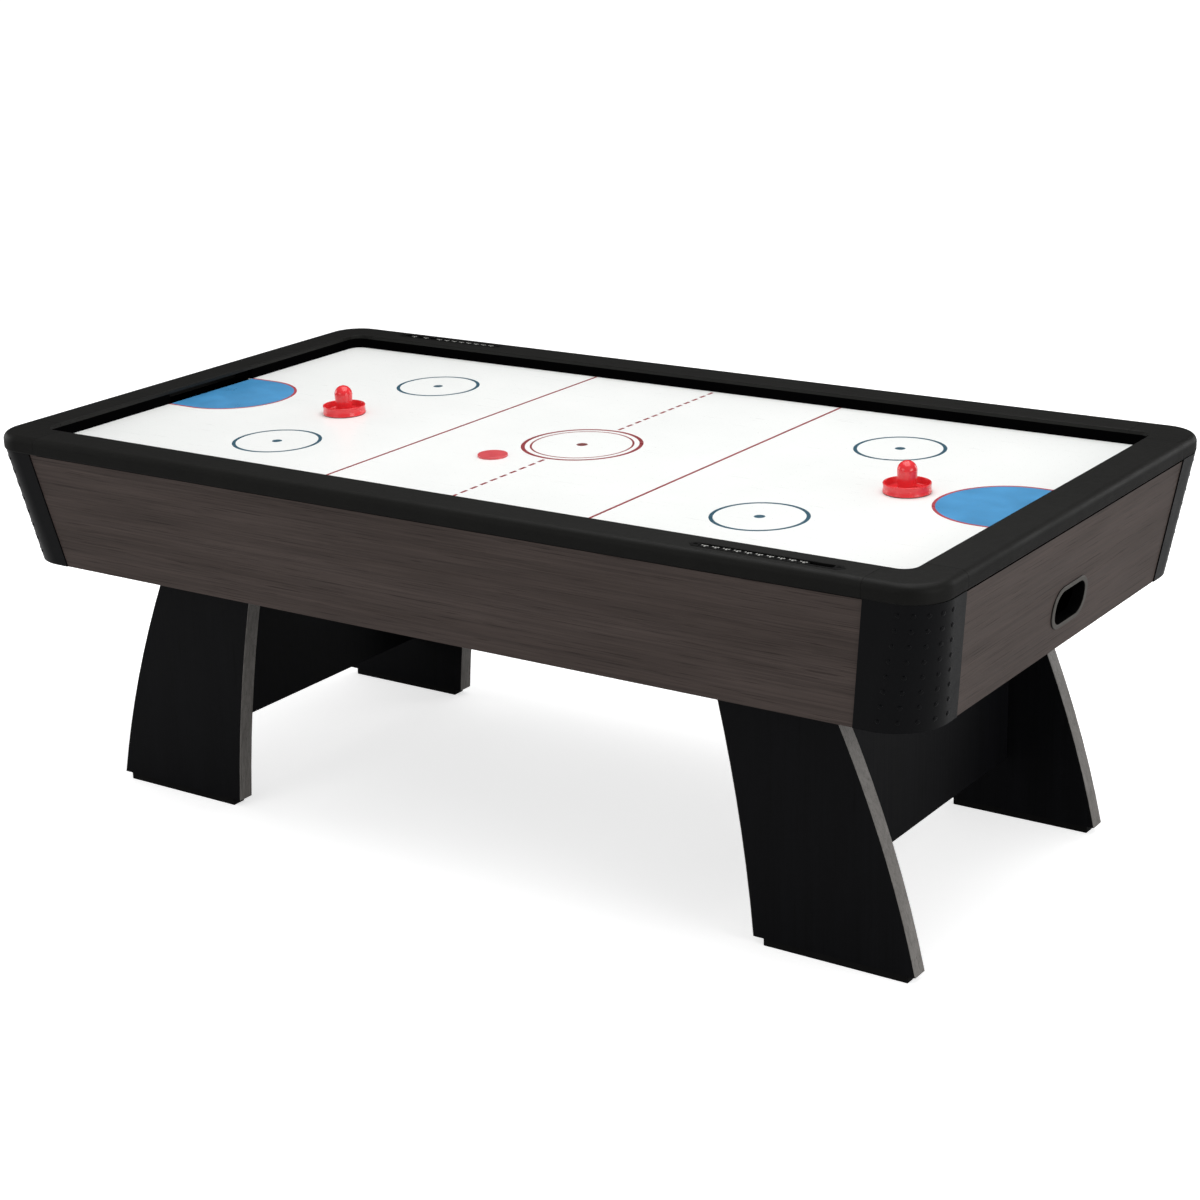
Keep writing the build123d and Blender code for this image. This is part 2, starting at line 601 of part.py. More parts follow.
def edge_curve(coefficients, shift):
    """Bezier control points of a leg edge from foot to cabinet floor, shifted in x."""
    start, linear, square = coefficients

    def x_at(z):
        s = z / CURVE_UNIT
        return start + linear * s + square * s * s + shift

    slope = linear / CURVE_UNIT + 2.0 * square * FOOT_H / CURVE_UNIT ** 2
    middle_x = x_at(FOOT_H) + slope * (Z_FLOOR - FOOT_H) / 2
    return ((x_at(FOOT_H), FOOT_H), (middle_x, (FOOT_H + Z_FLOOR) / 2),
            (x_at(Z_FLOOR), Z_FLOOR))


def trace_between(first, second):
    """Draw the closed outline between two edge curves in the open BuildLine."""
    Bezier(*first)
    Line(first[2], second[2])
    Bezier(second[2], second[1], second[0])
    Line(second[0], first[0])


outer_core, outer_face = edge_curve(LEG_OUTER, -BAND_T), edge_curve(LEG_OUTER, 0.0)
inner_core, inner_face = edge_curve(LEG_INNER, BAND_T), edge_curve(LEG_INNER, 0.0)
leg_holes = [(x, Z_FLOOR - BOLT_DROP) for x in BOLT_XS]      # in XZ
floor_holes = [(x, -LEG_IN_Y + BOLT_INSET) for x in BOLT_XS]   # in XY

with BuildPart() as leg_front_right:
    with BuildSketch(Plane.XZ.offset(LEG_IN_Y)):
        with BuildLine():
            trace_between(outer_core, inner_core)
        make_face()
    extrude(amount=LEG_T)
    with BuildSketch(Plane.XZ.offset(LEG_IN_Y)):
        with Locations(*leg_holes):
            Circle(BOLT_R)
    extrude(amount=27, mode=Mode.SUBTRACT)
save("leg_front_right", leg_front_right.part)
leg_front_left = save_mirror("leg_front_left", leg_front_right.part, Plane.YZ)
save_mirror("leg_back_right", leg_front_right.part, Plane.XZ)
save_mirror("leg_back_left", leg_front_left, Plane.XZ)

# bands on both curved edges of each leg
with BuildPart() as band_pair:
    with BuildSketch(Plane.XZ.offset(LEG_IN_Y)):
        for first, second in ((outer_face, outer_core), (inner_core, inner_face)):
            with BuildLine():
                trace_between(first, second)
            make_face()
    extrude(amount=LEG_T)

with BuildPart() as leg_edging:
    add_four_ways(band_pair.part)
save("leg_edging", leg_edging.part)

with BuildPart() as foot_blocks:
    with BuildSketch():
        with Locations(*[(side_x * FOOT_X, side_y * (LEG_IN_Y + LEG_T / 2))
                         for side_x in SIDES for side_y in SIDES]):
            RectangleRounded(FOOT_L, LEG_T - 4, FOOT_R)
    extrude(amount=FOOT_H)
    chamfer(foot_blocks.faces().filter_by(Plane.XY).group_by(Axis.Z)[0].edges(), 1.0)
save("foot_blocks", foot_blocks.part)

with BuildPart() as cross_panel_right:
    with BuildSketch(Plane.XY.offset(CROSS_Z)):
        with Locations((CROSS_X, 0)):
            Rectangle(CROSS_T, 2 * LEG_IN_Y)
    extrude(amount=Z_FLOOR - CROSS_Z)
save("cross_panel_right", cross_panel_right.part)
save_mirror("cross_panel_left", cross_panel_right.part, Plane.YZ)

# --------------------------------------------------- leg brackets and bolts
# Steel angles that bolt each leg to the cabinet floor.
BRACKET_XS = (630.0, 745.0)
BRACKET_L, BRACKET_T = 54, 3
BRACKET_W, BRACKET_H = 40, 42        # flange under the floor, flange on the leg
BOLT_HEAD_R, BOLT_HEAD_H = 5.6, 4

with BuildPart() as bracket_set:
    for x in BRACKET_XS:
        with BuildSketch(Plane.YZ.offset(x - BRACKET_L / 2)):
            with BuildLine():
                Polyline((-LEG_IN_Y, Z_FLOOR), (-LEG_IN_Y + BRACKET_W, Z_FLOOR),
                         (-LEG_IN_Y + BRACKET_W, Z_FLOOR - BRACKET_T),
                         (-LEG_IN_Y + BRACKET_T, Z_FLOOR - BRACKET_T),
                         (-LEG_IN_Y + BRACKET_T, Z_FLOOR - BRACKET_H),
                         (-LEG_IN_Y, Z_FLOOR - BRACKET_H), close=True)
            make_face()
        extrude(amount=BRACKET_L)
    for plane, holes in ((Plane.XZ.offset(LEG_IN_Y - 10), leg_holes),
                         (Plane.XY.offset(Z_FLOOR - 10), floor_holes)):
        with BuildSketch(plane):
            with Locations(*holes):
                Circle(BOLT_R)
        extrude(amount=12, mode=Mode.SUBTRACT)

with BuildPart() as leg_brackets:
    add_four_ways(bracket_set.part)
save("leg_brackets", leg_brackets.part)

with BuildPart() as bolt_set:
    for plane, holes, shank in ((Plane.XZ.offset(LEG_IN_Y - BRACKET_T), leg_holes, 28),
                                (Plane.XY.offset(Z_FLOOR - BRACKET_T), floor_holes, 16)):
        with BuildSketch(plane):
            with Locations(*holes):
                Circle(BOLT_R)
        extrude(amount=shank)
        with BuildSketch(plane):
            with Locations(*holes):
                RegularPolygon(BOLT_HEAD_R, 6)
        extrude(amount=-BOLT_HEAD_H)

with BuildPart() as leg_bolts:
    add_four_ways(bolt_set.part)
save("leg_bolts", leg_bolts.part)

# --------------------------------------------------------------------- blower
HOUSING_R, HOUSING_T = 120, 3
Z_HOUSING = 640                      # underside of the housing
FLANGE_R, FLANGE_T = 142, 4

with BuildPart() as blower_housing:
    housing_in = HOUSING_R - HOUSING_T
    Z_FLANGE = Z_PLENUM_BASE - FLANGE_T
    with BuildSketch(Plane.XZ):
        with BuildLine():
            # radius and height; the last points form the upturned inlet lip
            Polyline((62, Z_HOUSING), (HOUSING_R, Z_HOUSING), (HOUSING_R, Z_FLANGE),
                     (FLANGE_R, Z_FLANGE), (FLANGE_R, Z_PLENUM_BASE),
                     (housing_in, Z_PLENUM_BASE), (housing_in, Z_HOUSING + HOUSING_T),
                     (66, Z_HOUSING + HOUSING_T), (64, 652), (61, 652), close=True)
        make_face()
    revolve(axis=Axis.Z)
    with BuildSketch(Plane.XY.offset(Z_PLENUM_BASE - 10)):
        with PolarLocations(FLANGE_SCREW_R, 4, start_angle=45):
            Circle(SCREW_R)
    extrude(amount=12, mode=Mode.SUBTRACT)
    # hole for the power cable
    with BuildSketch(Plane.YZ.offset(-125)):
        with Locations((0, Z_CABLE)):
            Circle(CABLE_R + 0.2)
    extrude(amount=15, mode=Mode.SUBTRACT)
save("blower_housing", blower_housing.part)

# motor can on a three-armed carrier that reaches towards the housing wall
Z_MOTOR, MOTOR_H = 706, 38
MOTOR_EDGE_R = 3.0
Z_ARM, ARM_T, ARM_W = 737, 4, 14
ARM_L, ARM_CENTRE_R = 83.2, 75
SHAFT_R = 4.0

with BuildPart() as blower_motor:
    with BuildSketch(Plane.XY.offset(Z_MOTOR)):
        Circle(MOTOR_R)
    extrude(amount=MOTOR_H)
    fillet(blower_motor.edges().group_by(Axis.Z)[-1], MOTOR_EDGE_R)
    with BuildSketch(Plane.XY.offset(Z_ARM)):
        with PolarLocations(ARM_CENTRE_R, 3, start_angle=0):
            Rectangle(ARM_L, ARM_W)
    extrude(amount=ARM_T)
    with BuildSketch(Plane.XY.offset(700)):
        Circle(SHAFT_R + 0.05)
    extrude(amount=40, mode=Mode.SUBTRACT)
save("blower_motor", blower_motor.part)

with BuildPart() as motor_shaft:
    with BuildSketch(Plane.XY.offset(660)):
        Circle(SHAFT_R)
    extrude(amount=78)
    chamfer(motor_shaft.edges().filter_by(GeomType.CIRCLE), 0.5)
save("motor_shaft", motor_shaft.part)

IMPELLER_R, EYE_R = 100, 66          # outer radius, radius of the inlet eye
Z_BACKPLATE, Z_SHROUD, DISC_T = 696, 657, 3
Z_HUB, HUB_R, HUB_H = 664, 12, 38
BLADE_COUNT, BLADE_CENTRE_R = 18, 83
BLADE_L, BLADE_T, BLADE_ANGLE = 32, 2.2, 32
Z_BLADE = Z_SHROUD + DISC_T - 1      # blades reach 1 mm into both discs

with BuildPart() as impeller:
    with BuildSketch(Plane.XY.offset(Z_BACKPLATE)):
        Circle(IMPELLER_R)
    extrude(amount=DISC_T)
    with BuildSketch(Plane.XY.offset(Z_HUB)):
        Circle(HUB_R)
    extrude(amount=HUB_H)
    with BuildSketch(Plane.XY.offset(Z_SHROUD)):
        Circle(IMPELLER_R)
        Circle(EYE_R, mode=Mode.SUBTRACT)
    extrude(amount=DISC_T)
    with BuildSketch(Plane.XY.offset(Z_BLADE)):
        with PolarLocations(BLADE_CENTRE_R, BLADE_COUNT):
            Rectangle(BLADE_L, BLADE_T, rotation=BLADE_ANGLE)
    extrude(amount=Z_BACKPLATE + 1 - Z_BLADE)
    with BuildSketch(Plane.XY.offset(650)):
        Circle(SHAFT_R)
    extrude(amount=60, mode=Mode.SUBTRACT)
save("impeller", impeller.part)

# ------------------------------------------------------------- cabinet screws
# places under the heads, head radius and height, shank radius and length
SCREW_SETS = (
    # rail screws, driven up through the spacer blocks
    ([(x, y, Z_SPACER) for x, y in RAIL_SCREWS], 5.0, 3.0, SCREW_R, 70.0),
    # blower flange screws
    (diagonal_points(FLANGE_SCREW_R, Z_FLANGE), 4.5, 2.5, SCREW_R, 10.0),
    # grille screws
    (diagonal_points(GRILLE_SCREW_R, Z_FLOOR - GRILLE_T), 3.8, 2.0, GRILLE_SHANK_R, 16.0),
)

with BuildPart() as cabinet_screws:
    for places, head_r, head_h, shank_r, shank_l in SCREW_SETS:
        with Locations(*places):
            Cylinder(head_r, head_h, align=(Align.CENTER, Align.CENTER, Align.MAX))
            Cylinder(shank_r, shank_l, align=(Align.CENTER, Align.CENTER, Align.MIN))
save("cabinet_screws", cabinet_screws.part)

# ---------------------------------------------------------------- power panel
PANEL_L, PANEL_W, PANEL_R, PANEL_T = 96, 54, 6, 3
PANEL_BODY = (73, 35)
PANEL_BODY_H = 30
ROCKER_X = POWER_X - 20.0
ROCKER_HOLE = (22, 14)
ROCKER_W = 13
ROCKER_TILT = math.radians(8)
Z_PIVOT = Z_FLOOR + 1
PIN_R, PIN_L = 1.5, 18
PIN_HOLE_R, PIN_HOLE_L = 1.55, 19
INLET_X = POWER_X + 17
INLET_OUTLINE = ((-13.5, -9.5), (13.5, -9.5), (13.5, 5), (9, 9.5), (-9, 9.5), (-13.5, 5))

with BuildPart() as power_panel:
    with BuildSketch(Plane.XY.offset(Z_FLOOR - PANEL_T)):
        with Locations((POWER_X, POWER_Y)):
            RectangleRounded(PANEL_L, PANEL_W, PANEL_R)
    extrude(amount=PANEL_T)
    with BuildSketch(Plane.XY.offset(Z_FLOOR)):
        with Locations((POWER_X, POWER_Y)):
            Rectangle(*PANEL_BODY)
    extrude(amount=PANEL_BODY_H)
    with BuildSketch(Plane.XY.offset(Z_FLOOR - 5)):
        with Locations((ROCKER_X, POWER_Y)):
            Rectangle(*ROCKER_HOLE)
    extrude(amount=20, mode=Mode.SUBTRACT)
    with BuildSketch(Plane.XY.offset(Z_FLOOR - 5)):
        with Locations((INLET_X, POWER_Y)):
            Polygon(*INLET_OUTLINE)
    extrude(amount=22, mode=Mode.SUBTRACT)
    # contact blades in the inlet
    with BuildSketch(Plane.XY.offset(Z_FLOOR + 5)):
        with Locations((INLET_X - 7, POWER_Y - 2), (INLET_X + 7, POWER_Y - 2),
                       (INLET_X, POWER_Y + 3)):
            Rectangle(2, 5)
    extrude(amount=13)
    # hole for the rocker's pivot pin
    with BuildSketch(Plane.XZ.offset(-POWER_Y - PIN_HOLE_L / 2)):
        with Locations((ROCKER_X, Z_PIVOT)):
            Circle(PIN_HOLE_R)
    extrude(amount=PIN_HOLE_L, mode=Mode.SUBTRACT)
save("power_panel", power_panel.part)

# rocker with its pivot pin along Y, built in its off position
rocker_plane = Plane(origin=(ROCKER_X, POWER_Y - ROCKER_W / 2, Z_PIVOT),
                     x_dir=(math.cos(ROCKER_TILT), 0, math.sin(ROCKER_TILT)),
                     z_dir=(0, 1, 0))
with BuildPart() as power_rocker:
    with BuildSketch(rocker_plane):
        with BuildLine():
            Polyline((-9.8, 5.6), (0, 3.6), (9.8, 5.6), (9.0, 0), (5, -5), (-5, -5),
                     (-9.0, 0), close=True)
        make_face()
    extrude(amount=ROCKER_W)
    with BuildSketch(Plane.XZ.offset(-POWER_Y - PIN_L / 2)):
        with Locations((ROCKER_X, Z_PIVOT)):
            Circle(PIN_R)
    extrude(amount=PIN_L)
save("power_rocker", power_rocker.part)

# cable from the power panel up and across to the motor can
with BuildPart() as power_cable:
    with BuildLine() as cable_path:
        FilletPolyline((POWER_X, POWER_Y, Z_FLOOR + PANEL_BODY_H + 0.2),
                       (POWER_X, POWER_Y, Z_CABLE), (POWER_X, 0, Z_CABLE),
                       (-MOTOR_R - 0.4, 0, Z_CABLE), radius=30)
    with BuildSketch(Plane(origin=cable_path.line @ 0, z_dir=cable_path.line % 0)):
        Circle(CABLE_R)
    sweep()
save("power_cable", power_cable.part)

# ----------------------------------------------------------- mallets and puck
MALLET_R, MALLET_H = 48.25, 64.0
KNOB_R = 20.0
FELT_T, FELT_INSET = 1.2, 1.2
PUCK_R, PUCK_T, PUCK_CHAMFER = 31.75, 5.0, 0.7
PUCK_XY = (-113.0, -165.0)
Z_REST = Z_FIELD + 0.05              # underside of a piece resting on the field
Z_MALLET = Z_REST + FELT_T           # underside of a mallet body
Z_KNOB = Z_REST + MALLET_H - KNOB_R  # centre of the knob's dome


def rim_point(inset, height):
    """Profile point measured inwards from the mallet's rim and up from its underside."""
    return MALLET_R - inset, Z_MALLET + height


def neck_point(radius, height):
    return radius, Z_MALLET + height


with BuildPart() as mallet_body:
    with BuildSketch(Plane.XZ):
        with BuildLine():
            # base and outside of the rim
            Polyline((0, Z_MALLET), rim_point(1.0, 0), rim_point(0, 1.0), rim_point(0, 2.6))
            ThreePointArc(rim_point(0, 2.6), rim_point(1.1, 9.5), rim_point(0.5, 17.4))
            # over the rim and down into the dish
            ThreePointArc(rim_point(0.5, 17.4), rim_point(2.2, 19.4), rim_point(3.9, 17.4))
            Line(rim_point(3.9, 17.4), rim_point(5.6, 7.0))
            ThreePointArc(rim_point(5.6, 7.0), rim_point(7.0, 5.4), rim_point(9.0, 5.0))
            Line(rim_point(9.0, 5.0), neck_point(24.0, 5.0))
            # knob with a domed top
            ThreePointArc(neck_point(24.0, 5.0), neck_point(20.2, 6.4), neck_point(18.7, 10.2))
            Line(neck_point(18.7, 10.2), (KNOB_R, Z_KNOB))
            ThreePointArc((KNOB_R, Z_KNOB),
                          (KNOB_R * math.sqrt(0.5), Z_KNOB + KNOB_R * math.sqrt(0.5)),
                          (0, Z_KNOB + KNOB_R))
            Line((0, Z_KNOB + KNOB_R), (0, Z_MALLET))
        make_face()
    revolve(axis=Axis.Z)

with BuildPart() as felt_disc:
    with BuildSketch(Plane.XY.offset(Z_REST)):
        Circle(MALLET_R - FELT_INSET)
    extrude(amount=FELT_T)

for name, place in (("mallet_right", (772.0, -2.0, 0)), ("mallet_left", (-634.0, -23.0, 0))):
    save_copies(name, mallet_body.part, [place])
    save_copies(f"{name}_felt", felt_disc.part, [place])

with BuildPart() as puck:
    with BuildSketch(Plane.XY.offset(Z_REST)):
        with Locations(PUCK_XY):
            Circle(PUCK_R)
    extrude(amount=PUCK_T)
    chamfer(puck.edges().filter_by(GeomType.CIRCLE), PUCK_CHAMFER)
save("puck", puck.part)
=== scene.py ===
"""Air hockey table with its mallets, puck, legs and score beads.

The table is long in x, the playing field is centred on the z axis and the floor is z = 0.
The front is -y, and left is -x. Shapes are written in millimetres and built in metres;
lights and shader distances are in metres.
"""
import bpy
import bmesh
import math
from mathutils import Matrix, Vector

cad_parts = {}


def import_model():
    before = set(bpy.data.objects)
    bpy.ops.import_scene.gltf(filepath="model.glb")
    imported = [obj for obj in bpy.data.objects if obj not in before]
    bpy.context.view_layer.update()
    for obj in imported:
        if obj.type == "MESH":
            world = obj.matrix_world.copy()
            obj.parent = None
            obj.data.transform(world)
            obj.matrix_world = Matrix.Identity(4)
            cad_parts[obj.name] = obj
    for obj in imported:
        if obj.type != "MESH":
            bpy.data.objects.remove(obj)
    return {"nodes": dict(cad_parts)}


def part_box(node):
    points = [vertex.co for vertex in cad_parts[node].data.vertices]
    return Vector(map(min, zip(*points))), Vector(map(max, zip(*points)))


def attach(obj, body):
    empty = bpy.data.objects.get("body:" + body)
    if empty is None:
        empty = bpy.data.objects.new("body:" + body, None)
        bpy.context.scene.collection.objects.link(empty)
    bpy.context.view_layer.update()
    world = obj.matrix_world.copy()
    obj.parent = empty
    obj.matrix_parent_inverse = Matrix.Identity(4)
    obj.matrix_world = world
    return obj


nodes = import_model()["nodes"]
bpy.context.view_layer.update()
MM = 0.001
SIDES = (-1, 1)


# ------------------------------------------------------------ shader building
def grey(level):
    return (level, level, level)


class Shader:
    """One material's node tree. Colours are (r, g, b); stops are (position, colour)."""

    def __init__(self, name):
        self.material = bpy.data.materials.new(name)
        self.material.use_nodes = True
        self.tree = self.material.node_tree
        self.surface = next(n for n in self.tree.nodes if n.type == "BSDF_PRINCIPLED")
        self.position = self.node("ShaderNodeTexCoord")

    def node(self, kind):
        return self.tree.nodes.new(kind)

    def feed(self, socket, value):
        """Link an output to the socket, or set the socket to a number or colour."""
        if isinstance(value, bpy.types.NodeSocket):
            self.tree.links.new(value, socket)
        elif isinstance(value, tuple):
            socket.default_value = (*value, 1.0)
        else:
            socket.default_value = value

    def coords(self, scale=(1, 1, 1), rotation=(0, 0, 0)):
        mapping = self.node("ShaderNodeMapping")
        mapping.inputs["Scale"].default_value = scale
        mapping.inputs["Rotation"].default_value = rotation
        self.feed(mapping.inputs["Vector"], self.position.outputs["Object"])
        return mapping.outputs["Vector"]

    def noise(self, coords, scale, detail, rough, distortion=0.0):
        noise = self.node("ShaderNodeTexNoise")
        noise.inputs["Scale"].default_value = scale
        noise.inputs["Detail"].default_value = detail
        noise.inputs["Roughness"].default_value = rough
        noise.inputs["Distortion"].default_value = distortion
        self.feed(noise.inputs["Vector"], coords)
        return noise.outputs["Fac"]

    def ramp(self, mask, *stops):
        ramp = self.node("ShaderNodeValToRGB")
        elements = ramp.color_ramp.elements
        while len(elements) > 1:
            elements.remove(elements[-1])
        elements[0].position = stops[0][0]
        elements[0].color = (*stops[0][1], 1.0)
        for position, color in stops[1:]:
            elements.new(position).color = (*color, 1.0)
        self.feed(ramp.inputs["Fac"], mask)
        return ramp.outputs["Color"]

    def spread(self, mask, limits, source=(0.3, 0.7)):
        """Map the source range of a mask onto the limits."""
        spread = self.node("ShaderNodeMapRange")
        spread.inputs["From Min"].default_value, spread.inputs["From Max"].default_value = source
        spread.inputs["To Min"].default_value, spread.inputs["To Max"].default_value = limits
        self.feed(spread.inputs["Value"], mask)
        return spread.outputs["Result"]

    def mix(self, factor, first, second, blend="MIX"):
        mix = self.node("ShaderNodeMix")
        mix.data_type = "RGBA"
        mix.blend_type = blend
        mix.clamp_result = True
        self.feed(mix.inputs["Factor"], factor)
        # Sockets 6, 7 and output 2 are the colour ones.
        self.feed(mix.inputs[6], first)
        self.feed(mix.inputs[7], second)
        return mix.outputs[2]

    def tint(self, color, mask, *stops, amount=1.0):
        """Multiply a colour by a ramp of the mask."""
        return self.mix(amount, color, self.ramp(mask, *stops), "MULTIPLY")

    def bump(self, height, distance, strength=1.0, normal=None):
        bump = self.node("ShaderNodeBump")
        bump.inputs["Distance"].default_value = distance
        bump.inputs["Strength"].default_value = strength
        self.feed(bump.inputs["Height"], height)
        if normal is not None:
            self.feed(bump.inputs["Normal"], normal)
        return bump.outputs["Normal"]

    def finish(self, color, rough, normal=None, extra=None):
        inputs = self.surface.inputs
        self.feed(inputs["Base Color"], color)
        self.feed(inputs["Roughness"], rough)
        if normal is not None:
            self.feed(inputs["Normal"], normal)
        for name, value in (extra or {}).items():
            inputs[name].default_value = value
        return self.material


# ------------------------------------------------------------- material kinds
# rough is the (smoothest, roughest) pair, grain a noise scale, bump a height in metres.
def moulded(name, dark, light, rough, grain, bump, spec, sheen=0.0):
    """Moulded plastic: fine pebble grain, faint cloudiness, uneven sheen."""
    s = Shader(name)
    coords = s.coords()
    cloud = s.noise(coords, scale=6.0, detail=5.0, rough=0.6)
    fine = s.noise(coords, scale=grain, detail=3.0, rough=0.6)
    color = s.ramp(cloud, (0.3, dark), (0.7, light))
    color = s.tint(color, fine, (0.35, grey(0.82)), (0.65, grey(1.12)))
    smear = s.noise(coords, scale=23.0, detail=6.0, rough=0.65)
    return s.finish(color, s.spread(smear, rough), s.bump(fine, bump),
                    {"Specular IOR Level": spec, "Coat Weight": 0.0, "Coat Roughness": 0.2,
                     "Sheen Weight": sheen, "Sheen Roughness": 0.3})


def wood(name, axis, base, dark, light, rough, spec):
    """Straight grain along one axis: long fibres, dark pores and broad tone bands."""
    s = Shader(name)

    def grain(along, across, **noise):
        scale = tuple(along if letter == axis else across for letter in "xyz")
        return s.noise(s.coords(scale), **noise)

    band = grain(0.8, 7.0, scale=3.0, detail=3.0, rough=0.5)
    flow = grain(0.5, 30, scale=4.0, detail=5.0, rough=0.6, distortion=0.25)
    fibre = grain(2.6, 230, scale=1.0, detail=5.0, rough=0.7)
    pore = grain(7, 520, scale=1.0, detail=3.0, rough=0.6)
    color = s.ramp(flow, (0.25, dark), (0.48, base), (0.62, base), (0.82, light))
    color = s.tint(color, fibre, (0.3, grey(0.66)), (0.52, grey(1.0)),
                   (0.75, (1.28, 1.27, 1.26)), amount=0.85)
    color = s.tint(color, pore, (0.34, (0.45, 0.43, 0.42)), (0.42, grey(1.0)), amount=0.8)
    color = s.tint(color, band, (0.35, (0.88, 0.87, 0.86)), (0.65, grey(1.1)), amount=0.9)
    normal = s.bump(fibre, distance=0.00012, strength=0.6)
    normal = s.bump(pore, distance=0.00010, strength=0.5, normal=normal)
    return s.finish(color, s.spread(fibre, rough), normal, {"Specular IOR Level": spec})


def metal(name, base, rough):
    """Metal with faint clouding and fine marks drawn along z."""
    s = Shader(name)
    cloud = s.noise(s.coords(), scale=40.0, detail=5.0, rough=0.6)
    drawn = s.noise(s.coords((900, 900, 60)), scale=1.0, detail=3.0, rough=0.6)
    color = s.ramp(cloud, (0.3, tuple(c * 0.8 for c in base)), (0.7, base))
    return s.finish(color, s.spread(drawn, rough), s.bump(drawn, 0.00003), {"Metallic": 1.0})


def gloss(name, dark, light, rough, coat, subsurface=0.0):
    """Gloss plastic: shallow orange peel, faint flow clouding."""
    s = Shader(name)
    coords = s.coords()
    cloud = s.noise(coords, scale=22.0, detail=4.0, rough=0.6, distortion=0.4)
    peel = s.noise(coords, scale=260.0, detail=3.0, rough=0.5)
    color = s.ramp(cloud, (0.3, dark), (0.7, light))
    smear = s.noise(coords, scale=60.0, detail=5.0, rough=0.6)
    return s.finish(color, s.spread(smear, rough), s.bump(peel, distance=0.00005, strength=0.5),
                    {"Coat Weight": coat, "Coat Roughness": 0.12,
                     "Subsurface Weight": subsurface, "Subsurface Scale": 0.004})


def felt(name, dark, light):
    """Felt: fine fibre noise over broader tone patches."""
    s = Shader(name)
    coords = s.coords()
    fibre = s.noise(coords, scale=1400.0, detail=4.0, rough=0.7)
    patch = s.noise(coords, scale=180.0, detail=4.0, rough=0.6)
    color = s.ramp(patch, (0.3, dark), (0.7, light))
    color = s.tint(color, fibre, (0.3, grey(0.7)), (0.7, grey(1.2)))
    return s.finish(color, 0.95, s.bump(fibre, 0.0002), {"Sheen Weight": 0.4})


def ink_and_hole_shade(name, base):
    """Printed line: slightly uneven inking on a smooth board. Also used for the air holes, whose
    grey discs are painted shade.
    """
    s = Shader(name)
    coords = s.coords()
    cloud = s.noise(coords, scale=12.0, detail=5.0, rough=0.6)
    fine = s.noise(coords, scale=700.0, detail=3.0, rough=0.6)
    dark = tuple(c * 0.9 for c in base)
    light = tuple(c * 1.08 for c in base)
    color = s.ramp(cloud, (0.35, dark), (0.65, light))
    color = s.tint(color, fine, (0.3, grey(0.93)), (0.7, grey(1.04)))
    return s.finish(color, s.spread(cloud, (0.26, 0.36)), s.bump(fine, 0.00001),
                    {"Specular IOR Level": 0.4})


def play_white(name):
    """Smooth white board with very faint streaks."""
    s = Shader(name)
    coords = s.coords()
    cloud = s.noise(coords, scale=2.2, detail=4.0, rough=0.55)
    fine = s.noise(coords, scale=900.0, detail=3.0, rough=0.6)
    streak_coords = s.coords(scale=(1.0, 34.0, 1.0), rotation=(0, 0, 0.5))
    streak = s.noise(streak_coords, scale=6.0, detail=6.0, rough=0.75)
    color = s.ramp(cloud, (0.3, (0.86, 0.875, 0.86)), (0.7, (0.92, 0.93, 0.915)))
    color = s.tint(color, streak, (0.3, grey(0.985)), (0.7, grey(1.0)))
    return s.finish(color, s.spread(streak, (0.26, 0.38)), s.bump(fine, 0.000012),
                    {"Specular IOR Level": 0.35})


def bezel(name, dark, light, bore_shade):
    """Moulded ring, grey where it faces along x, black on the walls inside the opening as
    painted shade.
    """
    s = Shader(name)
    coords = s.coords()
    cloud = s.noise(coords, scale=30.0, detail=4.0, rough=0.6)
    fine = s.noise(coords, scale=800.0, detail=3.0, rough=0.6)
    face = s.ramp(cloud, (0.3, dark), (0.7, light))
    split = s.node("ShaderNodeSeparateXYZ")
    s.feed(split.inputs[0], s.position.outputs["Normal"])
    facing = s.node("ShaderNodeMath")
    facing.operation = "ABSOLUTE"
    s.feed(facing.inputs[0], split.outputs[0])
    mask = s.spread(facing.outputs[0], (0.0, 1.0), source=(0.30, 0.62))
    # Walls not facing along x get the black colour: painted shade inside the opening.
    color = s.mix(mask, bore_shade, face)
    return s.finish(color, s.spread(fine, (0.36, 0.5)), s.bump(fine, 0.00004),
                    {"Specular IOR Level": 0.2})


